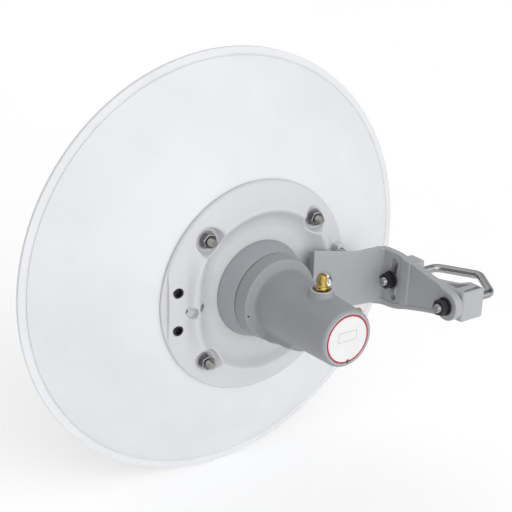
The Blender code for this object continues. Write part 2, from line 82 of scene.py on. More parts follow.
def side_place(n=0.0, z=0.0, u=0.0):
    """Local x backward, y up, z to the left."""
    return np.array([u, n, z]), np.array([[0, 1, 0], [0, 0, 1], [-1, 0, 0]], float)


def up_place(u=0.0, n=0.0, z=0.0):
    """Local x along u, y backward, z up."""
    return np.array([u, n, z]), np.array([[1, 0, 0], [0, 1, 0], [0, 0, 1]], float)


def right_place(u=0.0, n=0.0, z=0.0):
    """Local x up, y backward, z along u."""
    return np.array([u, n, z]), np.array([[0, 0, 1], [0, 1, 0], [1, 0, 0]], float)


def placed(solid, place):
    """Move a solid's local points into (u, n, z)."""
    points, faces = solid
    origin, axes = place
    return np.asarray(points) @ axes + origin, faces


# ---------------------------------------------------------------- meshes

def faces_outward(points, faces):
    """Faces turned so that the closed surface's volume is positive."""
    tri = [(f[0], f[i], f[i + 1]) for f in faces[:: max(1, len(faces) // 4000)]
           for i in range(1, len(f) - 1)] if len(faces) < 4000 else None
    if tri is None:
        quads = np.array([f for f in faces if len(f) == 4])
        a, b, c, d = (points[quads[:, i]] for i in range(4))
        volume = np.einsum("ij,ij->", a, np.cross(b, c)) + np.einsum("ij,ij->", a, np.cross(c, d))
    else:
        t = np.array(tri)
        a, b, c = (points[t[:, i]] for i in range(3))
        volume = np.einsum("ij,ij->", a, np.cross(b, c))
    return faces if volume > 0 else [tuple(reversed(f)) for f in faces]


def mesh_object(name, solids, sharp=32.0, normals=None):
    """One object from solids given as (points in (u, n, z), faces)."""
    points, faces = [], []
    count = 0
    for p, f in solids:
        w = world_points(p)
        f = faces_outward(w - w.mean(0), [tuple(int(i) for i in g) for g in f])
        faces += [tuple(i + count for i in g) for g in f]
        points.append(w)
        count += len(w)
    mesh = bpy.data.meshes.new(name)
    mesh.from_pydata(np.concatenate(points).tolist(), [], faces)
    mesh.validate()
    mesh.shade_smooth()
    if normals is not None:
        mesh.normals_split_custom_set_from_vertices(normals.tolist())
    else:
        mesh.set_sharp_from_angle(angle=math.radians(sharp))
    obj = bpy.data.objects.new(name, mesh)
    bpy.context.scene.collection.objects.link(obj)
    return obj


def dress(obj, node, *looks):
    """Give a piece its finish, and let it stand for its CAD node."""
    for look in looks:
        obj.data.materials.append(look)
    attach(obj, body_of[node])
    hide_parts(node)
    return obj


def softened(outline, sharp=1.0, steps=5, closed=True):
    """Round each corner of an outline: tightly at sharp corners, widely at slight ones."""
    pts = [np.array(p, float) for p in outline]
    out = []
    last = len(pts)
    for i, p in enumerate(pts):
        if not closed and i in (0, last - 1):
            out.append(tuple(p))
            continue
        a = pts[i - 1] - p
        b = pts[(i + 1) % last] - p
        la, lb = np.linalg.norm(a), np.linalg.norm(b)
        cos = np.clip(np.dot(a, b) / (la * lb), -1, 1)
        turn = math.pi - math.acos(cos)
        if turn < 0.01:
            out.append(tuple(p))
            continue
        radius = sharp if turn > math.radians(38) else 60.0
        length = min(0.48 * min(la, lb), radius * math.tan(turn / 2))
        start, end = p + a / la * length, p + b / lb * length
        for k in range(steps + 1):
            t = k / steps
            out.append(tuple((1 - t) ** 2 * start + 2 * t * (1 - t) * p + t * t * end))
    return out


def spun(profile, segments=160, closed=True):
    """Turn (radius, height) points about local z. Open profiles start and end on the axis."""
    rings = []
    points = []
    angles = np.arange(segments) * 2 * math.pi / segments
    for r, h in profile:
        if r < 1e-6:
            rings.append([len(points)])
            points.append((0.0, 0.0, h))
        else:
            rings.append(list(range(len(points), len(points) + segments)))
            points += [(r * math.cos(a), r * math.sin(a), h) for a in angles]
    faces = []
    pairs = list(zip(rings, rings[1:])) + ([(rings[-1], rings[0])] if closed else [])
    for low, high in pairs:
        for i in range(segments):
            j = (i + 1) % segments
            quad = [low[i % len(low)], low[j % len(low)], high[j % len(high)], high[i % len(high)]]
            quad = tuple(dict.fromkeys(quad))
            if len(quad) > 2:
                faces.append(quad)
    return np.array(points), faces


def threaded(radius, pitch, low, high, segments=40, depth=None, chamfer=0.8, plain=0.0):
    """A rod along local z with a cut helical thread; plain is the smooth length at low."""
    depth = 0.6 * pitch if depth is None else depth
    rows = max(8, int((high - low - plain) / pitch * 8))
    heights = [low] + list(np.linspace(low + plain, high, rows))
    rings, points = [], []
    for k, h in enumerate(heights):
        ring = []
        for i in range(segments):
            a = 2 * math.pi * i / segments
            phase = ((h / pitch) - i / segments) % 1.0
            cut = depth * (1 - abs(2 * phase - 1)) if k > 0 and h > low + plain else 0.0
            r = radius - cut
            r = min(r, radius - max(0.0, chamfer - (high - h)))
            ring.append(len(points))
            points.append((r * math.cos(a), r * math.sin(a), h))
        rings.append(ring)
    faces = []
    for low_ring, high_ring in zip(rings, rings[1:]):
        for i in range(segments):
            j = (i + 1) % segments
            faces.append((low_ring[i], low_ring[j], high_ring[j], high_ring[i]))
    faces.append(tuple(reversed(rings[0])))
    faces.append(tuple(rings[-1]))
    return np.array(points), faces


# ---------------------------------------------------------------- distance fields

def flat(x, y, outline):
    """Signed distance to a closed outline, negative inside."""
    best = None
    inside = None
    pts = list(outline)
    for (x0, y0), (x1, y1) in zip(pts, pts[1:] + pts[:1]):
        ex, ey = x1 - x0, y1 - y0
        wx, wy = x - x0, y - y0
        t = np.clip((wx * ex + wy * ey) / (ex * ex + ey * ey), 0, 1)
        d = (wx - ex * t) ** 2 + (wy - ey * t) ** 2
        best = d if best is None else np.minimum(best, d)
        crosses = ((y0 > y) != (y1 > y)) & (x < ex * (y - y0) / (ey if ey else 1e-9) + x0)
        inside = crosses if inside is None else inside ^ crosses
    return np.where(inside, -1.0, 1.0) * np.sqrt(best)


def both(a, b, r):
    """Intersection whose new edges are rounded to radius r."""
    return np.minimum(np.maximum(a, b), -r) + np.hypot(np.maximum(a + r, 0), np.maximum(b + r, 0))


def join(a, b, r):
    """Union whose new corners are filled to radius r."""
    return np.maximum(np.minimum(a, b), r) - np.hypot(np.maximum(r - a, 0), np.maximum(r - b, 0))


def cut(a, b, r):
    return both(a, -b, r)


def disc(x, y, cx, cy, r):
    return np.hypot(x - cx, y - cy) - r


def between(x, low, high):
    return np.abs(x - (low + high) / 2) - (high - low) / 2


def net(field, low, high, step):
    """Closed quad mesh of a field's zero surface inside a box, with its normals."""
    axes = [np.arange(a - step, b + 2 * step, step) for a, b in zip(low, high)]
    grid = np.meshgrid(*axes, indexing="ij", sparse=True)
    f = np.array(np.broadcast_to(field(*grid), [len(a) for a in axes]), dtype=np.float32)
    neg = f < 0
    total = np.zeros([n - 1 for n in f.shape], np.int8)
    for i in (0, 1):
        for j in (0, 1):
            for k in (0, 1):
                total += neg[i:f.shape[0] - 1 + i, j:f.shape[1] - 1 + j, k:f.shape[2] - 1 + k]
    active = (total > 0) & (total < 8)
    cells = np.argwhere(active)
    index = np.full(total.shape, -1, np.int64)
    index[active] = np.arange(len(cells))
    place = np.zeros((len(cells), 3))
    hits = np.zeros(len(cells))
    for axis in range(3):
        o1, o2 = [i for i in range(3) if i != axis]
        for c1 in (0, 1):
            for c2 in (0, 1):
                a = cells.copy()
                a[:, o1] += c1
                a[:, o2] += c2
                b = a.copy()
                b[:, axis] += 1
                fa, fb = f[tuple(a.T)], f[tuple(b.T)]
                hit = (fa < 0) != (fb < 0)
                p = a.astype(float)
                p[hit, axis] += fa[hit] / (fa[hit] - fb[hit])
                place[hit] += p[hit]
                hits[hit] += 1
    points = place / hits[:, None] * step + [a[0] for a in axes]
    faces = []
    for axis in range(3):
        o1, o2 = [i for i in range(3) if i != axis]
        first = np.take(neg, range(neg.shape[axis] - 1), axis)
        second = np.take(neg, range(1, neg.shape[axis]), axis)
        e = np.argwhere(first != second)
        e = e[(e[:, o1] > 0) & (e[:, o2] > 0)]
        e = e[(e[:, o1] < neg.shape[o1] - 1) & (e[:, o2] < neg.shape[o2] - 1)]
        ring = []
        for d1, d2 in ((1, 1), (0, 1), (0, 0), (1, 0)):
            c = e.copy()
            c[:, o1] -= d1
            c[:, o2] -= d2
            ring.append(index[tuple(c.T)])
        quads = np.stack(ring, 1)
        turn = first[tuple(e.T)] ^ (axis == 1)
        quads[turn] = quads[turn][:, ::-1]
        faces.append(quads)
    faces = np.concatenate(faces)
    corners = np.array([(1, -1, -1), (-1, -1, 1), (-1, 1, -1), (1, 1, 1)], float)

    def probe(p, h):
        values = np.stack([field(*(p + c * h).T) for c in corners])
        slope = np.tensordot(values, corners, (0, 0)) / (4 * h)
        return values.mean(0), slope

    for _ in range(3):
        value, slope = probe(points, 0.02)
        move = value[:, None] * slope / np.maximum((slope ** 2).sum(1), 0.2)[:, None]
        points -= np.clip(move, -0.5 * step, 0.5 * step)
    _, slope = probe(points, 0.12)
    normal = slope / np.maximum(np.linalg.norm(slope, axis=1), 1e-9)[:, None]
    return points, faces, normal * [1, -1, 1]


def cast(name, node, field, low, high, step, *looks):
    """A cast piece from its distance field."""
    points, faces, normals = net(field, low, high, step)
    obj = mesh_object(name, [(points, faces.tolist())], normals=normals)
    return dress(obj, node, *looks)


# ---------------------------------------------------------------- finishes

def nodes_of(name):
    mat = bpy.data.materials.new(name)
    mat.use_nodes = True
    tree = mat.node_tree
    return mat, tree, tree.nodes["Principled BSDF"]


def noise(tree, coords, scale, detail=3.0, rough=0.55):
    n = tree.nodes.new("ShaderNodeTexNoise")
    n.inputs["Scale"].default_value = scale
    n.inputs["Detail"].default_value = detail
    n.inputs["Roughness"].default_value = rough
    tree.links.new(coords.outputs["Object"], n.inputs["Vector"])
    return n.outputs["Fac"]


def spread(tree, value, low, high, start=0.3, end=0.7):
    m = tree.nodes.new("ShaderNodeMapRange")
    m.inputs["From Min"].default_value = start
    m.inputs["From Max"].default_value = end
    m.inputs["To Min"].default_value = low
    m.inputs["To Max"].default_value = high
    tree.links.new(value, m.inputs["Value"])
    return m.outputs["Result"]


def blend_colour(tree, factor, first, second):
    m = tree.nodes.new("ShaderNodeMix")
    m.data_type = "RGBA"
    tree.links.new(factor, m.inputs["Factor"])
    for socket, value in ((m.inputs[6], first), (m.inputs[7], second)):
        if isinstance(value, tuple):
            socket.default_value = (*value, 1.0)
        else:
            tree.links.new(value, socket)
    return m.outputs[2]


def bumped(tree, shader, layers):
    """Stack bump layers of (height, strength, distance) under the shader's normal."""
    below = None
    for height, strength, distance in layers:
        b = tree.nodes.new("ShaderNodeBump")
        b.inputs["Strength"].default_value = strength
        b.inputs["Distance"].default_value = distance
        tree.links.new(height, b.inputs["Height"])
        if below is not None:
            tree.links.new(below, b.inputs["Normal"])
        below = b.outputs["Normal"]
    tree.links.new(below, shader.inputs["Normal"])


def painted(name, colour, roughness, peel=500.0, peel_height=0.00004, grain=0.0, wear=None,
            edge_highlight=None):
    """Powder coat: orange peel, slight tone drift, thin paint along worn edges, and optionally a
    painted highlight lightening sharp edges.
    """
    mat, tree, shader = nodes_of(name)
    coords = tree.nodes.new("ShaderNodeTexCoord")
    shade = tuple(c * 0.955 for c in colour)
    light = tuple(min(1.0, c * 1.03) for c in colour)
    tone = blend_colour(tree, spread(tree, noise(tree, coords, 14.0, 4.0), 0, 1), shade, light)
    speck = spread(tree, noise(tree, coords, 2600.0, 2.0), 0, 0.16, 0.52, 0.75)
    tone = blend_colour(tree, speck, tone, tuple(c * 0.9 for c in colour))
    # Painted highlight: sharp convex edges are lightened towards this colour, standing in for
    # light catching them.
    if edge_highlight is not None:
        geo = tree.nodes.new("ShaderNodeNewGeometry")
        tone = blend_colour(tree, spread(tree, geo.outputs["Pointiness"], 0, 0.9, 0.515, 0.56),
                            tone, edge_highlight)
    if wear is not None:
        geo = tree.nodes.new("ShaderNodeNewGeometry")
        edge = spread(tree, geo.outputs["Pointiness"], 0, 1, 0.53, 0.6)
        patch = spread(tree, noise(tree, coords, 220.0, 4.0), 0, 1, 0.45, 0.62)
        both_of = tree.nodes.new("ShaderNodeMath")
        both_of.operation = "MULTIPLY"
        tree.links.new(edge, both_of.inputs[0])
        tree.links.new(patch, both_of.inputs[1])
        tone = blend_colour(tree, both_of.outputs[0], tone, wear)
    tree.links.new(tone, shader.inputs["Base Color"])
    drift = spread(tree, noise(tree, coords, 60.0, 3.0), roughness - 0.04, roughness + 0.06)
    tree.links.new(drift, shader.inputs["Roughness"])
    shader.inputs["Specular IOR Level"].default_value = 0.45
    layers = [(noise(tree, coords, peel, 2.0, 0.4), 0.5, peel_height)]
    if grain:
        layers.append((noise(tree, coords, peel * 4.5, 4.0, 0.6), 0.35, grain))
    bumped(tree, shader, layers)
    return mat


def metal(name, colour, roughness, streak=0.0, stain=None, edge_glint=None):
    """Bare or plated metal with fine scratches, a little staining, and optionally a painted
    highlight lightening its sharp edges.
    """
    mat, tree, shader = nodes_of(name)
    coords = tree.nodes.new("ShaderNodeTexCoord")
    dark = tuple(c * 0.86 for c in colour) if stain is None else stain
    patch = spread(tree, noise(tree, coords, 160.0, 5.0, 0.6), 0, 0.8, 0.5, 0.72)
    tone = blend_colour(tree, patch, colour, dark)
    # Painted highlight: sharp edges are lightened towards this colour, standing in for glints of
    # light on them.
    if edge_glint is not None:
        geo = tree.nodes.new("ShaderNodeNewGeometry")
        tone = blend_colour(tree, spread(tree, geo.outputs["Pointiness"], 0, 1, 0.52, 0.60),
                            tone, edge_glint)
    tree.links.new(tone, shader.inputs["Base Color"])
    shader.inputs["Metallic"].default_value = 1.0
    worn = spread(tree, noise(tree, coords, 400.0, 4.0), roughness, roughness + 0.1)
    tree.links.new(worn, shader.inputs["Roughness"])
    bumped(tree, shader, [(noise(tree, coords, 1800.0, 3.0), 0.25, 0.00001 + streak)])
    return mat


def black_oxide(name):
    """Black coated steel, worn bright in spots along its edges."""
    mat, tree, shader = nodes_of(name)
    coords = tree.nodes.new("ShaderNodeTexCoord")
    geo = tree.nodes.new("ShaderNodeNewGeometry")
    base = blend_colour(
        tree, spread(tree, noise(tree, coords, 300.0), 0, 1), (0.006, 0.006, 0.007),
        (0.014, 0.014, 0.016))
    edge = spread(tree, geo.outputs["Pointiness"], 0, 0.5, 0.54, 0.62)
    tree.links.new(blend_colour(tree, edge, base, (0.07, 0.07, 0.08)), shader.inputs["Base Color"])
    rough = spread(tree, noise(tree, coords, 500.0), 0.3, 0.45)
    tree.links.new(rough, shader.inputs["Roughness"])
    shader.inputs["Specular IOR Level"].default_value = 0.4
    bumped(tree, shader, [(noise(tree, coords, 1500.0, 3.0), 0.4, 0.00002)])
    return mat


def plastic(name, colour, roughness, grain=1400.0):
    mat, tree, shader = nodes_of(name)
    coords = tree.nodes.new("ShaderNodeTexCoord")
    tone = blend_colour(
        tree, spread(tree, noise(tree, coords, 90.0), 0, 1), tuple(c * 0.94 for c in colour),
        colour)
    tree.links.new(tone, shader.inputs["Base Color"])
    rough = spread(tree, noise(tree, coords, 300.0), roughness - 0.04, roughness + 0.05)
    tree.links.new(rough, shader.inputs["Roughness"])
    bumped(tree, shader, [(noise(tree, coords, grain, 2.0), 0.3, 0.00002)])
    return mat


SHELL_PAINT = painted("shell_paint", (0.640, 0.650, 0.668), 0.42, 420.0, 0.00003)
PLATE_PAINT = painted("plate_paint", (0.533, 0.540, 0.561), 0.46, 380.0, 0.00005, 0.00002)
# The last colour is a painted highlight along the adaptor's sharp edges.
ADAPTOR_PAINT = painted("adaptor_paint", (0.264, 0.275, 0.287), 0.46, 520.0, 0.00004, 0.00002,
                        edge_highlight=(0.40, 0.41, 0.42))
SOCKET_PAINT = painted("socket_paint", (0.304, 0.312, 0.332), 0.52, 480.0, 0.00004, 0.00002)
BRACKET_PAINT = painted(
    "bracket_paint", (0.355, 0.362, 0.376), 0.5, 330.0, 0.00008, 0.00003, (0.52, 0.53, 0.54))
BLOCK_PAINT = painted(
    "block_paint", (0.365, 0.372, 0.388), 0.5, 330.0, 0.00008, 0.00003, (0.55, 0.56, 0.57))
STEEL = metal("zinc_steel", (0.30, 0.30, 0.29), 0.38, 0.00001, (0.20, 0.20, 0.19))
# The last colour is a painted highlight along the sharp edges of the nuts and washers.
DULL_STEEL = metal(
    "dull_steel", (0.17, 0.17, 0.175), 0.27, 0.00001, (0.10, 0.10, 0.10), (0.62, 0.62, 0.63))
CHROME = metal("chrome", (0.34, 0.345, 0.35), 0.06, 0.0, (0.29, 0.295, 0.30))
POLISHED = metal("polished_steel", (0.86, 0.87, 0.86), 0.12, 0.0, (0.78, 0.79, 0.78))
# The last colour is a painted highlight along the connectors' sharp edges.
GOLD = metal("gold_plate", (0.44, 0.31, 0.075), 0.20, 0.0, (0.34, 0.22, 0.045),
             (0.80, 0.66, 0.30))
BLACK = black_oxide("black_coat")
RED = plastic("red_plastic", (0.58, 0.015, 0.02), 0.38)
WHITE_FILM = plastic("label_film", (0.69, 0.69, 0.70), 0.34, 700.0)
GREY_FILM = plastic("label_print", (0.33, 0.33, 0.34), 0.34, 700.0)
RED_FILM = plastic("label_border", (0.60, 0.012, 0.02), 0.34, 700.0)
FEED_PLASTIC = plastic("feed_plastic", (0.74, 0.74, 0.71), 0.42)
FEED_PAINT = painted("feed_paint", (0.74, 0.75, 0.76), 0.4, 450.0, 0.00003)
INSULATOR = plastic("insulator", (0.78, 0.77, 0.72), 0.45)


# ---------------------------------------------------------------- reflector

def bowl_n(r):
    return 3.0 + 67.0 * (1 - (r / 197.0) ** 2)


def bowl_inner(r):
    slope = 2 * 67.0 * r / 197.0 ** 2
    length = math.hypot(slope, 1.0)
    return r - 2.0 * slope / length, bowl_n(r) - 2.0 / length


radii = np.linspace(93.0, 197.0, 27)
outer = [(38.0, SHELL_FLAT_N), (60.0, SHELL_FLAT_N), (91.0, SHELL_FLAT_N)]
outer += [(float(r), float(bowl_n(r))) for r in radii]
lip = softened(
    [(197.15, 2.3), (198.2, 2.0), (198.7, 2.75), (204.6, 2.75), (205.0, 2.3), (205.0, -0.6),
     (204.6, -1.1), (197.8, -1.1)], 0.35, 4)
inner = [bowl_inner(float(r)) for r in reversed(radii)]
inner = [p for p in inner if p[1] < SHELL_FRONT_N and p[0] > 93.0]
inner += [(91.5, SHELL_FRONT_N), (60.0, SHELL_FRONT_N), (38.0, SHELL_FRONT_N)]
shell = mesh_object("fine_reflector", [placed(spun(outer + lip + inner, 240), dish_place())], 24)


def drill(obj, holes):
    """Cut round holes of (u, z, radius) along n through an object and keep the result."""
    tools = []
    for u, z, r in holes:
        profile = [(0.0, 40.0), (r, 40.0), (r, 90.0), (0.0, 90.0)]
        tools.append(mesh_object("drill", [placed(spun(profile, 40, False), dish_place(u, z))]))
        mod = obj.modifiers.new("Drill", "BOOLEAN")
        mod.operation = "DIFFERENCE"
        mod.solver = "EXACT"
        mod.object = tools[-1]
    bpy.context.view_layer.update()
    graph = bpy.context.evaluated_depsgraph_get()
    mesh = bpy.data.meshes.new_from_object(obj.evaluated_get(graph))
    obj.modifiers.clear()
    obj.data = mesh
    for tool in tools:
        bpy.data.objects.remove(tool, do_unlink=True)
    mesh.set_sharp_from_angle(angle=math.radians(24))


stud_spots = [(sx * BOLT_XY, sz * BOLT_XY) for sx, sz in ((-1, 1), (1, 1), (-1, -1), (1, -1))]
pad_spots = [(side * u, side * z) for side in (-1, 1) for u, z in PAD_HOLES]
drill(shell, [(u, z, 4.5) for u, z in stud_spots]
      + [(u, z, 4.5 if u < 0 else 2.9) for u, z in pad_spots])
dress(shell, "reflector", SHELL_PAINT)


# ---------------------------------------------------------------- back plate

PAD_EDGE = softened(
    [(120.0, -56.0), (66.0, -56.0), (68.3, -50.0), (70.8, -36.0), (72.6, -24.0), (73.8, -12.0),
     (74.2, 0.0), (73.8, 12.0), (72.6, 24.0), (70.8, 36.0), (68.3, 50.0), (66.0, 56.0),
     (120.0, 56.0)], 1.0, 3)


def half_plane(x, y, x0, y0, x1, y1):
    """Distance to the line through two points, positive on its left."""
    ex, ey = x1 - x0, y1 - y0
    return ((y - y0) * ex - (x - x0) * ey) / math.hypot(ex, ey)


def plate_field(u, n, z):
    r = np.hypot(u, z)
    au = np.abs(u)
    zz = np.where(u < 0, -z, z)
    flange = half_plane(r, n, 85.5, 61.6, 97.6, 57.5)
    slope = half_plane(r, n, 76.0, 69.1, 85.5, 61.6)
    crest = both(n - 69.6, slope, 2.2)
    d = join(flange, crest, 3.0)
    d = both(d, half_plane(r, n, 97.5, 57.6, 99.0, 55.7), 0.3)
    d = both(d, r - 99.0, 0.3)
    bottom = np.where(r > 93.0, bowl_n(r), SHELL_FLAT_N) + 0.3
    d = both(d, bottom - n, 0.3)
    d = cut(d, r - 38.0, 0.4)
    wall = half_plane(r, n, 63.3, 60.0, 73.9, 68.8)
    side = half_plane(au, n, 55.2, 60.0, 69.2, 69.6)
    well = both(both(-wall, -side, 5.0), 60.0 - n, 4.0)
    d = cut(d, well, 1.8)
    lean = au - 5.0 + 0.714 * (n - 61.0)
    pad = both(0.84 * flat(lean, z, PAD_EDGE), 61.0 - n, 3.5)
    d = cut(d, pad, 2.6)
    chord = both(92.8 - au, 56.2 - n, 0.6)
    d = cut(d, chord, 0.7)
    scallop = disc(au, zz, SCALLOP[0], SCALLOP[1], 4.9)
    d = cut(d, both(scallop, 61.2 - n, 2.0), 1.8)
    relief = disc(u, z, CENTER_BOLT[0], CENTER_BOLT[1], 7.0)
    d = cut(d, both(relief, 59.8 - n, 0.8), 0.6)
    spot = disc(au, np.abs(z), BOLT_XY, BOLT_XY, 0.0)
    pocket = both((spot - 10.2 - (n - 59.8) * 0.5) * 0.89, 59.9 - n, 2.0)
    d = cut(d, pocket, 1.8)
    d = cut(d, spot - 4.4, 0.3)
    for hu, hz in PAD_HOLES:
        boss = both(between(u, hu - 4.0, hu + 3.7), between(z, hz - 7.0, hz + 6.2), 1.4)
        d = join(d, both(boss, between(n, 57.0, 69.6), 0.7), 1.0)
        d = cut(d, disc(au, zz, hu, hz, 0.0) - np.where(u < 0, 4.5, 2.9), 0.4)
    d = cut(d, disc(u, z, CENTER_BOLT[0], CENTER_BOLT[1], 4.0), 0.4)
    d = cut(d, disc(u, z, SPARE_HOLE[0], SPARE_HOLE[1], 3.5), 0.4)
    return cut(d, both(disc(au, zz, 76.4, 5.0, 1.6), 57.5 - n, 0.1), 0.25)


cast("fine_back_plate", "back_plate", plate_field, (-99.5, 53.0, -99.5), (99.5, 70.5, 99.5), 0.87,
     PLATE_PAINT)


# Black cups closing the left pad holes: a dark sheet standing in for the shade inside the holes.
for i, (u, z) in enumerate(PAD_HOLES, 1):
    cup = softened([(0.0, 55.6), (4.35, 55.6), (4.35, 60.9), (3.3, 60.9), (3.1, 60.5),
                    (3.1, 56.6), (0.0, 56.6)], 0.15, 3, False)
    shade_cup = mesh_object(f"pad_shade_cup_{i}", [placed(spun(cup, 48, False), dish_place(-u, -z))])
    shade_cup.data.materials.append(BLACK)
    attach(shade_cup, body_of["back_plate"])


# ---------------------------------------------------------------- nuts, bolts, washers

def hexagon(x, y, apothem):
    d = None
    for a in (0.0, 60.0, 120.0):
        t = math.radians(a)
        e = np.abs(x * math.cos(t) + y * math.sin(t)) - apothem
        d = e if d is None else np.maximum(d, e)
    return d


def nut_field(apothem, height, bore):
    def field(x, y, z):
        mid = np.abs(z - height / 2) - height / 2
        rad = np.hypot(x, y)
        d = both(hexagon(x, y, apothem), mid, 0.25)
        d = both(d, (rad - apothem * 1.09) * 0.5 + mid * 0.866, 0.3)
        return cut(d, rad - bore, 0.25)
    return field


def net_solid(field, low, high, step):
    points, faces, _ = net(field, low, high, step)
    return points, faces.tolist()


NUT = net_solid(nut_field(6.55, 6.4, 3.95), (-7.7, -7.7, -0.2), (7.7, 7.7, 6.6), 0.42)
STUD_NUT = net_solid(nut_field(6.1, 5.4, 3.45), (-7.2, -7.2, -0.2), (7.2, 7.2, 5.6), 0.4)
HEAD = net_solid(nut_field(6.2, 5.2, -1.0), (-7.3, -7.3, -0.2), (7.3, 7.3, 5.4), 0.45)
HEX = net_solid(nut_field(5.5, 2.6, -1.0), (-6.6, -6.6, -0.2), (6.6, 6.6, 2.8), 0.35)
SMALL_HEAD = net_solid(nut_field(4.9, 4.6, -1.0), (-6.0, -6.0, -0.2), (6.0, 6.0, 4.8), 0.42)


def turned_by(solid, degrees, lift=0.0, flip=False):
    """Turn a local solid about its z axis, and lift or flip it along z."""
    points, faces = solid
    a = math.radians(degrees)
    m = np.array([[math.cos(a), math.sin(a), 0], [-math.sin(a), math.cos(a), 0], [0, 0, 1]])
    p = points @ m
    if flip:
        p = p * [1, 1, -1]
    return p + [0, 0, lift], faces


def washer(inner_r, outer_r, low, high):
    e = 0.25
    return spun(
        [(inner_r, low), (outer_r - e, low), (outer_r, low + e), (outer_r, high - e),
         (outer_r - e, high), (inner_r + e, high), (inner_r, high - e)], 72)


for i, (u, z) in enumerate(stud_spots, 1):
    spot = dish_place(u, z)
    ring = placed(washer(4.4, 8.2, FLOOR_N + 0.1, 61.5), spot)
    dress(mesh_object(f"fine_plate_washer_{i}", [ring]), f"plate_washer_{i}", DULL_STEEL)
    nut = placed(turned_by(STUD_NUT, 17.0 * i, 61.6), spot)
    dress(mesh_object(f"fine_plate_nut_{i}", [nut]), f"plate_nut_{i}", DULL_STEEL)
    rod = placed(threaded(3.45, 1.0, 52.0, 73.4, 40, plain=6.0), spot)
    head = placed(turned_by(HEAD, 23.0 * i, SHELL_FRONT_N - 0.3, True), spot)
    dress(mesh_object(f"fine_plate_bolt_{i}", [rod, head]), f"plate_bolt_{i}", STEEL)


# ---------------------------------------------------------------- port socket and feed

socket = softened(
    [(29.5, 78.2), (39.5, 78.2), (45.0, 62.0), (45.2, 60.3), (37.4, 60.3),
     (37.4, SHELL_FRONT_N), (29.5, SHELL_FRONT_N)], 0.2, 3)
dress(mesh_object("fine_port_socket", [placed(spun(socket, 200), dish_place())], 24),
      "port_socket", SOCKET_PAINT)

tube = softened(
    [(0.0, 52.77), (46.0, 52.77), (46.0, 47.6), (30.0, 46.9), (18.0, 46.0), (14.0, 42.0),
     (13.0, 36.0), (13.0, -34.0), (11.0, -34.0), (11.0, 44.0), (0.0, 44.0)], 0.6, 4, False)
dress(mesh_object("fine_feed_tube", [placed(spun(tube, 120, False), dish_place())]),
      "feed_tube", FEED_PAINT)
cone = [(0.0, 30.0), (6.0, 30.0), (10.7, -33.0), (10.7, -34.3), (13.0, -34.3)]
for k in range(4):
    r0, n0 = 13.0 + 3.6 * k, -34.3 - 4.9 * k
    cone += [(r0 + 0.4, n0 - 0.9), (r0 + 0.5, n0 - 2.2), (r0 + 3.1, n0 - 4.4)]
cone += [(27.5, -54.2), (27.5, -55.0), (0.0, -55.0)]
dress(mesh_object("fine_feed_cone", [placed(spun(softened(cone, 0.3, 3, False), 120, False),
                                            dish_place())]), "feed_cone", FEED_PLASTIC)
cap = softened(
    [(0.0, -55.3), (28.5, -55.3), (30.0, -56.5), (30.0, -59.0), (28.0, -60.6), (18.0, -61.0),
     (0.0, -61.0)], 0.8, 4, False)
dress(mesh_object("fine_sub_reflector", [placed(spun(cap, 140, False), dish_place())]),
      "sub_reflector", FEED_PAINT)


# ---------------------------------------------------------------- adaptor

ADAPTOR_OUTLINE = softened(
    [(-20.0, 183.2), (21.1, 183.2), (21.1, 184.2), (22.7, 184.2), (24.4, 183.2),
     (25.2, 181.6), (25.35, 179.0), (28.85, 96.6), (29.6, 94.7), (36.4, 92.5), (37.1, 92.0),
     (37.5, 91.0), (39.4, 79.6), (29.1, 79.6), (29.1, 64.0), (25.0, 64.0), (24.4, 95.0),
     (22.3, 178.0), (-20.0, 178.0)], 0.25, 4)
CHEEK = softened(
    [(24.0, 91.0), (37.2, 91.0), (37.0, 97.0), (36.2, 104.0), (34.9, 108.0), (33.9, 113.0),
     (33.4, 118.0), (33.0, 123.0), (32.5, 128.0), (31.8, 131.5), (31.0, 134.0),
     (28.0, 135.4), (24.0, 135.8)], 0.8, 4)
BOSS_TOP = 31.2
LUG = [(97.6, -25.0), (98.0, -33.0), (98.8, -34.6), (101.0, -35.6), (103.2, -34.6),
       (104.0, -33.0), (104.4, -25.0)]


def adaptor_field(u, n, z):
    r = np.hypot(u, z)
    d = flat(r, n, ADAPTOR_OUTLINE)
    for along, across in ((z, u), (u, z)):
        rad = np.hypot(across, n - CONNECTOR_N)
        boss = both((rad - 9.3 + (along - BOSS_TOP) * 0.36) * 0.94,
                    between(along, 20.0, BOSS_TOP), 0.4)
        d = join(d, boss, 0.5)
        d = cut(d, both(rad - 7.8, 29.5 - along, 0.3), 0.25)
    frame_block = flat(r, n, CHEEK)
    cheek = both(frame_block, between(np.abs(u), 15.9, 18.3), 0.8)
    rear = both(both(frame_block, 132.0 - n, 0.4), np.abs(u) - 17.5, 0.6)
    d = join(d, np.maximum(np.minimum(cheek, rear), z + 10.0), 2.2)
    floor = 29.4 - 0.15 * np.maximum(n - 120.0, 0.0)
    d = np.maximum(d, -np.maximum(np.maximum(np.abs(u) - 15.8, floor - r),
                                  np.maximum(between(n, 92.9, 131.9), z + 12.0)))
    lug = both(flat(n, z, LUG), np.abs(u) - 4.2, 0.4)
    d = join(d, lug, 0.6)
    d = cut(d, disc(n, z, 101.0, -33.0, 1.8), 0.1)
    d = cut(d, both(disc(u, z, -34.0, -7.6, 0.95), 88.0 - n, 0.1), 0.2)
    return cut(d, both(disc(u, z, 1.5, -20.6, 1.5), 181.0 - n, 0.1), 0.2)


cast("fine_adaptor_body", "adaptor_body", adaptor_field, (-40.0, 63.5, -40.0),
     (40.0, 184.8, 40.0), 0.8, ADAPTOR_PAINT)


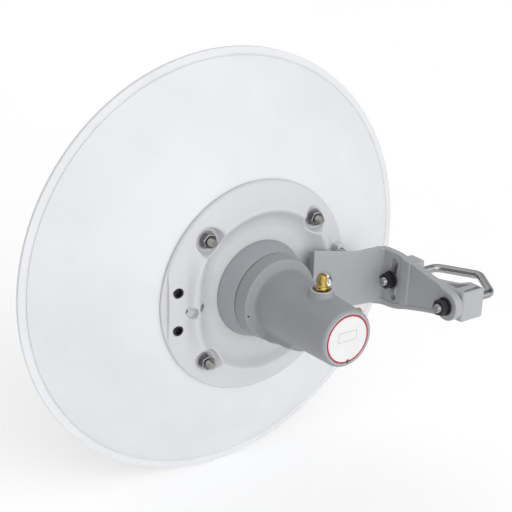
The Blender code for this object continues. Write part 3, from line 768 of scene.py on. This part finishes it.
def label_solid():
    """A thin disc with a notch, as rings of faces: the outer rings are the border."""
    rings = [0.0, 6.0, 12.0, 18.0, 19.7, 20.65]
    segments = 180
    top, points, faces, border = [], [], [], []
    for k, r in enumerate(rings):
        row = []
        for i in range(segments if r else 1):
            a = 2 * math.pi * i / segments
            x, y = r * math.cos(a), r * math.sin(a)
            gap = 2.4 - math.hypot(x - 1.5, y + 20.6)
            if gap > 0:
                x, y = x * (1 - gap / 20.6), y * (1 - gap / 20.6)
            row.append(len(points))
            points.append((x, y, 184.0))
        top.append(row)
    for k in range(len(rings) - 1):
        a, b = top[k], top[k + 1]
        for i in range(segments):
            j = (i + 1) % segments
            f = tuple(dict.fromkeys((a[i % len(a)], b[i], b[j], a[j % len(a)])))
            faces.append(f)
            border.append(k == len(rings) - 2)
    base = len(points)
    rim = top[-1]
    for i in rim:
        x, y, _ = points[i]
        points.append((x, y, 183.5))
    for i in range(segments):
        j = (i + 1) % segments
        faces.append((rim[i], base + i, base + j, rim[j]))
        border.append(True)
    faces.append(tuple(base + i for i in range(segments)))
    border.append(False)
    return (np.array(points), faces), border


def printed_frame(half_w, half_h, line, low, high):
    """A thin rectangular outline standing just proud of the film."""
    rows = []
    for h in (low, high):
        for inset in (0.0, line):
            w, t = half_w - inset, half_h - inset
            rows.append([(-w, -t, h), (w, -t, h), (w, t, h), (-w, t, h)])
    points = [p for row in rows for p in row]
    faces = []
    for a, b in ((0, 1), (1, 3), (3, 2), (2, 0)):
        for i in range(4):
            j = (i + 1) % 4
            faces.append((4 * a + i, 4 * a + j, 4 * b + j, 4 * b + i))
    return np.array(points), faces


solid, border = label_solid()
field_line = printed_frame(9.5, 4.2, 0.35, 183.9, 184.06)
field_line = (field_line[0] + [0.0, 2.5, 0.0], field_line[1])
label = mesh_object("fine_end_label", [placed(solid, dish_place()),
                                       placed(field_line, dish_place())])
dress(label, "end_label", WHITE_FILM, RED_FILM, GREY_FILM)
for face in label.data.polygons:
    inked = face.index >= len(border)
    face.material_index = 2 if inked else int(border[face.index])

for tag, spot in (("top", up_place(0, CONNECTOR_N, 0)), ("side", right_place(0, CONNECTOR_N, 0))):
    collar = softened(
        [(0.0, 32.0), (5.2, 32.0), (5.0, 32.9), (4.6, 33.7), (3.2, 34.0), (0.0, 34.0)],
        0.3, 4, False)
    hexed = turned_by(HEX, 14.0, 29.8)
    barrel = threaded(4.1, 0.9, 33.8, 43.6, 48, depth=0.2, chamfer=0.7, plain=0.6)
    points, faces = barrel
    faces = faces[:-1]
    rim = list(range(len(points) - 48, len(points)))
    lip_start = len(points)
    well_r = 3.1
    angles = [2 * math.pi * i / 48 for i in range(48)]
    deep = [(well_r * math.cos(a), well_r * math.sin(a), 43.6) for a in angles]
    deep += [(well_r * math.cos(a), well_r * math.sin(a), 39.8) for a in angles]
    points = np.concatenate([points, deep])
    a0, b0 = lip_start, lip_start + 48
    for i in range(48):
        j = (i + 1) % 48
        faces.append((rim[i], rim[j], a0 + j, a0 + i))
        faces.append((a0 + i, a0 + j, b0 + j, b0 + i))
    faces.append(tuple(range(b0, b0 + 48)))
    piece = mesh_object(f"fine_connector_{tag}", [
        placed(hexed, spot), placed(spun(collar, 96, False), spot),
        placed((points, faces), spot)])
    dress(piece, f"connector_{tag}", GOLD)
    plug = softened([(0.0, 39.9), (2.9, 39.9), (2.9, 41.2), (0.8, 41.2), (0.55, 42.6),
                     (0.0, 42.6)], 0.15, 3, False)
    core = mesh_object(f"connector_core_{tag}", [placed(spun(plug, 48, False), spot)])
    core.data.materials.append(INSULATOR)
    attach(core, body_of[f"connector_{tag}"])


# ---------------------------------------------------------------- latch

LEVER_OUTLINE = softened(
    [(30.2, 95.0), (33.5, 93.6), (37.3, 93.0), (38.1, 93.9), (37.5, 98.0), (37.0, 102.0),
     (35.8, 106.0), (34.7, 110.0), (33.9, 114.0), (33.2, 118.0), (32.7, 122.0), (32.3, 126.0),
     (31.4, 130.0), (30.4, 131.0), (29.9, 130.6)], 0.3, 4)


def lever_field(u, n, z):
    d = flat(np.hypot(u, z), n, LEVER_OUTLINE)
    d = both(d, np.abs(u) - 15.5, 0.9)
    d = np.maximum(d, z + 10.0)
    slot = both(both(np.abs(u) - 4.7, between(n, 96.8, 105.2), 0.3), -36.0 - z, 0.3)
    d = cut(d, slot, 0.2)
    d = cut(d, both(disc(n, z, 101.0, -33.0, 1.8), np.abs(u) - 9.3, 0.1), 0.1)
    floor = half_plane(n, z, 106.7, -34.1, 122.0, -31.2)
    pocket = both(both(np.abs(u) - 5.8, between(n, 106.7, 122.0), 0.3), floor, 0.2)
    return cut(d, pocket, 0.4)


def button_field(u, n, z):
    outline = softened(
        [(107.0, -34.4), (121.7, -31.5), (121.7, -34.5), (120.9, -35.5), (108.0, -38.0),
         (107.0, -37.2)], 0.4, 3)
    d = both(flat(n, z, outline), np.abs(u) - 5.5, 0.6)
    for k in range(5):
        groove = disc(n, z, 110.0 + 2.3 * k, -38.0 + 0.43 * k, 0.75)
        d = cut(d, both(groove, np.abs(u) - 3.8, 0.3), 0.15)
    return d


cast("fine_latch_lever", "latch_lever", lever_field, (-16, 92.5, -39), (16, 131.5, -20), 0.55,
     ADAPTOR_PAINT)
cast("fine_latch_button", "latch_button", button_field, (-5.8, 106.7, -38.4),
     (5.8, 122.0, -31.0), 0.35, RED)
pin = softened([(0.0, -9.0), (1.5, -9.0), (1.5, 9.0), (0.0, 9.0)], 0.3, 3, False)
dress(mesh_object("fine_latch_pin", [placed(spun(pin, 32, False), side_place(101.0, -33.0))]),
      "latch_pin", STEEL)


# ---------------------------------------------------------------- bracket

PLAN = softened(
    [(47.0, 69.9), (112.0, 69.9), (118.5, 72.0), (122.3, 77.0), (123.5, 84.0), (123.5, 200.0),
     (115.0, 200.0), (115.0, 97.0), (113.6, 92.5), (109.5, 88.5), (101.0, 84.3), (90.0, 80.4),
     (79.0, 77.9), (74.0, 77.4), (47.0, 77.4)], 0.8, 4)
FACE = softened(
    [(40.0, -31.5), (40.0, 31.5), (49.0, 31.5), (60.0, 29.6), (72.0, 27.0), (84.0, 24.4),
     (92.0, 23.6), (98.0, 24.0), (106.0, 24.8), (113.5, 25.2), (113.5, -28.4),
     (108.0, -29.2), (100.0, -30.6), (90.0, -31.4), (80.0, -31.5)], 1.0, 4)


def arc(cx, cy, radius, start, end, steps):
    spaced = [math.radians(start + (end - start) * i / steps) for i in range(steps + 1)]
    return [(cx + radius * math.cos(a), cy + radius * math.sin(a)) for a in spaced]


ARM = softened(
    [(60.0, 24.6), (99.0, 25.8), (106.0, 26.0), (112.0, 25.7), (118.0, 24.9), (128.0, 23.5),
     (135.0, 21.9), (142.0, 20.5), (149.0, 19.3), (156.0, 17.9), (162.0, 16.9), (168.0, 15.4)]
    + arc(PIVOT_N, 0.0, 13.38, 72, -118, 24)
    + [(160.0, -13.6), (151.0, -15.8), (140.0, -18.7), (127.0, -22.4), (118.0, -25.6),
       (110.0, -27.8), (98.0, -29.0), (60.0, -29.0)], 1.0, 3)
RECESS_SLOT = softened(
    [(93.4, 40.0), (117.2, 40.0), (118.4, -20.5), (110.0, -22.4), (93.4, -23.5)], 2.5, 4)
RECESS_ARM = softened(
    [(128.4, 40.0), (165.0, 40.0), (167.9, 13.0), (168.2, 2.0), (166.6, -6.0), (162.0, -9.8),
     (151.0, -12.2), (140.0, -15.1), (127.6, -18.6)], 2.5, 4)
BROW = ((60.0, 69.9, 78.7, 85.5, 95.0), (11.8, 17.0, 21.8, 24.1, 27.3))


def bracket_field(u, n, z):
    face = both(flat(u, z, FACE), n - 97.0, 0.5)
    arm = both(flat(n, z, ARM), 111.0 - u, 0.5)
    d = both(flat(u, n, PLAN), join(face, arm, 3.0), 1.1)
    rise = np.interp(u, (44.0, 95.0, 131.0), (12.2, 0.8, 0.0))
    d = both(d, 0.9 * (z - rise - np.interp(n, *BROW)), 1.1)
    for outline in (RECESS_SLOT, RECESS_ARM):
        d = cut(d, both(flat(n, z, outline), u - 116.1, 1.0), 0.5)
    half = math.radians(math.degrees(1.5 / LEG_SPACING) + ELEVATION_DEG)
    rad = np.hypot(n - PIVOT_N, z)
    angle = np.arctan2(z, PIVOT_N - n)
    end_n, end_z = LEG_SPACING * math.cos(half), LEG_SPACING * math.sin(half)
    tip = np.hypot(PIVOT_N - n - end_n, np.abs(z) - end_z)
    slot = np.where(np.abs(angle) <= half, np.abs(rad - LEG_SPACING), tip) - 4.1
    d = cut(d, slot, 0.25)
    d = cut(d, rad - 4.3, 0.4)
    for hu, hz in PAD_HOLES:
        d = cut(d, both(disc(u, z, hu, hz, 2.8), n - 75.2, 0.2), 0.3)
    cu, cz = CENTER_BOLT
    d = join(d, both(disc(u, z, cu, cz, 6.4), between(n, 60.3, 73.0), 0.4), 0.8)
    return cut(d, disc(u, z, cu, cz, 4.0), 0.3)


cast("fine_bracket", "bracket", bracket_field, (46.5, 60.0, -32.0), (124.0, 191.0, 32.0), 0.7,
     BRACKET_PAINT)

for i, (u, z) in enumerate(PAD_HOLES, 1):
    spot = dish_place(u, z)
    rod = placed(threaded(2.5, 0.8, 50.0, 74.5, 32, plain=4.0), spot)
    head = placed(turned_by(SMALL_HEAD, 31.0 * i, SHELL_FRONT_N - 0.3, True), spot)
    dress(mesh_object(f"fine_bracket_screw_{i}", [rod, head]), f"bracket_screw_{i}", STEEL)

dome = softened(
    [(0.0, 80.2), (2.6, 80.2), (2.9, 80.6), (2.9, 82.9), (3.5, 83.3), (5.0, 83.0), (7.4, 81.6),
     (8.4, 79.7), (8.7, 78.4), (8.7, 77.75), (3.7, 77.7), (3.7, 57.6), (0.0, 57.6)],
    0.35, 4, False)
dress(mesh_object("fine_bracket_bolt", [placed(spun(dome, 72, False),
                                               dish_place(CENTER_BOLT[0], CENTER_BOLT[1]))]),
      "bracket_bolt", POLISHED)


# ---------------------------------------------------------------- pole clamp

JAW = [(130.0, 9.0), (140.0, 26.0), (150.0, 29.6), (150.0, 47.0), (123.8, 47.0)]
BLOCK = softened(JAW + [(u, -y) for u, y in reversed(JAW)], 2.4, 5)
POCKETS = [
    softened([(128.4, 20.6), (128.4, 34.4), (144.4, 34.4), (143.0, 32.6)], 0.7, 3),
    softened([(128.4, 41.4), (128.4, 44.4), (146.8, 44.4), (146.8, 39.8), (145.4, 39.8)], 0.7, 3),
]


def block_field(u, n, z):
    y = n - CLAMP_N
    d = both(flat(u, y, BLOCK), np.abs(z) - 14.0, 2.4)
    for outline, side in zip(POCKETS, (np.abs(y), y)):
        hollow = both(flat(u, side, outline), 7.0 - np.abs(z), 0.7)
        hollow = np.maximum(hollow, u - np.where(y < 0, 140.5, 150.0))
        d = cut(d, hollow, 0.5)
    for leg in (-LEG_SPACING / 2, LEG_SPACING / 2):
        d = cut(d, np.hypot(y - leg, z) - 4.5, 0.5)
    return d


cast("fine_clamp_block", "clamp_block", block_field, (123.0, 94.0, -14.5), (151.0, 189.5, 14.5),
     0.6, BLOCK_PAINT)


def rounded_path(corners, radii_mm, steps=14):
    """Polyline through corners, each turned into an arc of its own radius."""
    points = [Vector(corners[0])]
    for before, corner, after, radius in zip(corners, corners[1:], corners[2:], radii_mm):
        a = (Vector(before) - Vector(corner)).normalized()
        b = (Vector(after) - Vector(corner)).normalized()
        half_angle = a.angle(b) / 2
        centre = Vector(corner) + (a + b).normalized() * radius / math.sin(half_angle)
        start = Vector(corner) + a * radius / math.tan(half_angle) - centre
        end = Vector(corner) + b * radius / math.tan(half_angle) - centre
        turn = start.rotation_difference(end)
        swing = [Quaternion().slerp(turn, i / steps) for i in range(steps + 1)]
        points += [centre + q @ start for q in swing]
    points.append(Vector(corners[-1]))
    return points


def rod_along(path, radius, pitch, thread_length, segments=36):
    """Sweep a round rod along a flat path, with cut threads at both ends."""
    pts = [Vector(p) for p in path]
    lengths = [0.0]
    for a, b in zip(pts, pts[1:]):
        lengths.append(lengths[-1] + (b - a).length)
    total = lengths[-1]
    fine = np.arange(0.0, thread_length, pitch / 8)
    stops = sorted(set(list(fine) + list(total - fine) + [s for s in lengths
                   if thread_length < s < total - thread_length]))
    points, rings = [], []
    for s in stops:
        k = max(i for i in range(len(lengths) - 1) if lengths[i] <= s + 1e-9)
        t = (s - lengths[k]) / (lengths[k + 1] - lengths[k])
        centre = pts[k].lerp(pts[k + 1], t)
        ahead = (pts[k + 1] - pts[k]).normalized()
        if 0 < k and abs(s - lengths[k]) < 1e-6:
            ahead = ((pts[k] - pts[k - 1]).normalized() + ahead).normalized()
        side = Vector((-ahead.y, ahead.x, 0.0))
        up = Vector((0.0, 0.0, 1.0))
        near = min(s, total - s)
        ring = []
        for i in range(segments):
            a = 2 * math.pi * i / segments
            phase = ((s / pitch) - i / segments) % 1.0
            fade = min(1.0, max(0.0, (thread_length - near) / pitch))
            r = radius - 0.55 * fade * (1 - abs(2 * phase - 1))
            r = min(r, radius - max(0.0, 0.9 - near))
            p = centre + side * (r * math.cos(a)) + up * (r * math.sin(a))
            ring.append(len(points))
            points.append((p.x, p.y, p.z))
        rings.append(ring)
    faces = [tuple(reversed(rings[0])), tuple(rings[-1])]
    for low, high in zip(rings, rings[1:]):
        for i in range(segments):
            j = (i + 1) % segments
            faces.append((low[i], low[j], high[j], high[i]))
    return np.array(points), faces


reach = LEG_SPACING / 2
path = rounded_path(
    [(103.2, reach, 0), (171.0, reach, 0), (193.0, 0, 0), (171.0, -reach, 0),
     (103.2, -reach, 0)], (11.0, 9.0, 11.0))
rod_points, rod_faces = rod_along(path, 4.0, 1.25, 33.0)
rod_points = rod_points * [1, 1, 1] + [0, CLAMP_N, 0]
dress(mesh_object("fine_u_bolt", [(rod_points, rod_faces)], 40), "u_bolt", CHROME)

for tag, n in (("slot", PIVOT_N - LEG_SPACING), ("pivot", PIVOT_N)):
    spot = side_place(n, 0.0)
    base = -115.0 + 0.3
    ring = placed(washer(4.4, 8.3, base, base + 1.6), spot)
    dress(mesh_object(f"fine_{tag}_washer", [ring]), f"{tag}_washer", BLACK)
    nut = placed(turned_by(NUT, 12.0 if tag == "slot" else 41.0, base + 1.9), spot)
    dress(mesh_object(f"fine_{tag}_nut", [nut]), f"{tag}_nut", BLACK)


# ---------------------------------------------------------------- light, floor and camera

# Soft walls of light: axis, sign, strength near the horizon, strength half way up.
STUDIO_WALLS = ((0, -1, 0.25, 0.10), (0, 1, 0.61, 0.10), (1, -1, 2.80, 2.15), (1, 1, 0.90, 0.90))
TOP_LIGHT = 1.0

world = bpy.data.worlds.new("studio")
bpy.context.scene.world = world
world.use_nodes = True
tree = world.node_tree
background = tree.nodes["Background"]
coords = tree.nodes.new("ShaderNodeTexCoord")
split = tree.nodes.new("ShaderNodeSeparateXYZ")
tree.links.new(coords.outputs["Generated"], split.inputs["Vector"])


def calc(operation, *values):
    """A math node over sockets and numbers."""
    m = tree.nodes.new("ShaderNodeMath")
    m.operation = operation
    for socket, value in zip(m.inputs, values):
        if isinstance(value, (int, float)):
            socket.default_value = value
        else:
            tree.links.new(value, socket)
    return m.outputs[0]


def ease(value, start, end):
    """Smooth rise from 0 to 1 between two values."""
    m = tree.nodes.new("ShaderNodeMapRange")
    m.interpolation_type = "SMOOTHSTEP"
    m.inputs["From Min"].default_value = start
    m.inputs["From Max"].default_value = end
    tree.links.new(value, m.inputs["Value"])
    return m.outputs["Result"]


east, north, high = split.outputs
level = calc("MAXIMUM", calc("ADD", calc("MULTIPLY", east, east),
                             calc("MULTIPLY", north, north)), 1e-6)
rise = ease(high, 0.15, 0.5)
crown = ease(high, 0.6, 0.9)
glow = calc("MULTIPLY", crown, TOP_LIGHT)
for axis, sign, low_light, mid_light in STUDIO_WALLS:
    facing = calc("MAXIMUM", calc("MULTIPLY", (east, north)[axis], float(sign)), 0.0)
    share = calc("DIVIDE", calc("MULTIPLY", facing, facing), level)
    low_part = calc("MULTIPLY", calc("SUBTRACT", 1.0, rise), low_light)
    mid_part = calc("MULTIPLY", calc("SUBTRACT", rise, crown), mid_light)
    glow = calc("ADD", glow, calc("MULTIPLY", share, calc("ADD", low_part, mid_part)))
tree.links.new(glow, background.inputs["Strength"])
background.inputs["Color"].default_value = (1.0, 1.0, 1.0, 1.0)

floor_mesh = bpy.data.meshes.new("floor")
span, height = 12.0, -0.2055
floor_mesh.from_pydata(
    [(-span, -span, height), (span, -span, height), (span, span, height), (-span, span, height)],
    [], [(0, 1, 2, 3)])
floor = bpy.data.objects.new("floor", floor_mesh)
bpy.context.scene.collection.objects.link(floor)
floor_mat, floor_tree, floor_shader = nodes_of("floor_white")
floor_coords = floor_tree.nodes.new("ShaderNodeTexCoord")
floor_tone = blend_colour(
    floor_tree, spread(floor_tree, noise(floor_tree, floor_coords, 3.0), 0, 1),
    (0.90, 0.90, 0.905), (0.92, 0.92, 0.92))
floor_tree.links.new(floor_tone, floor_shader.inputs["Base Color"])
floor_shader.inputs["Roughness"].default_value = 0.9
floor_shader.inputs["Emission Color"].default_value = (1.0, 1.0, 1.0, 1.0)
floor_shader.inputs["Emission Strength"].default_value = 0.16
floor_mesh.materials.append(floor_mat)

azimuth, elevation, roll = (math.radians(a) for a in (35.651, 21.448, 1.788))
right = Vector((math.cos(azimuth), -math.sin(azimuth), 0.0))
back = Vector((-math.sin(azimuth) * math.cos(elevation),
               -math.cos(azimuth) * math.cos(elevation), math.sin(elevation)))
up = back.cross(right)
view = Matrix.Identity(4)
columns = (right * math.cos(roll) + up * math.sin(roll),
           up * math.cos(roll) - right * math.sin(roll), back)
for c, column in enumerate(columns):
    for r in range(3):
        view[r][c] = column[r]
view.translation = (-0.67321, -0.66899, 0.39430)
camera_data = bpy.data.cameras.new("camera")
camera_data.sensor_width = 36.0
camera_data.lens = 79.44
camera_data.clip_start = 0.01
camera = bpy.data.objects.new("camera", camera_data)
camera.matrix_world = view
bpy.context.scene.collection.objects.link(camera)
bpy.context.scene.camera = camera
bpy.context.scene.view_settings.view_transform = "Standard"

bpy.context.view_layer.update()
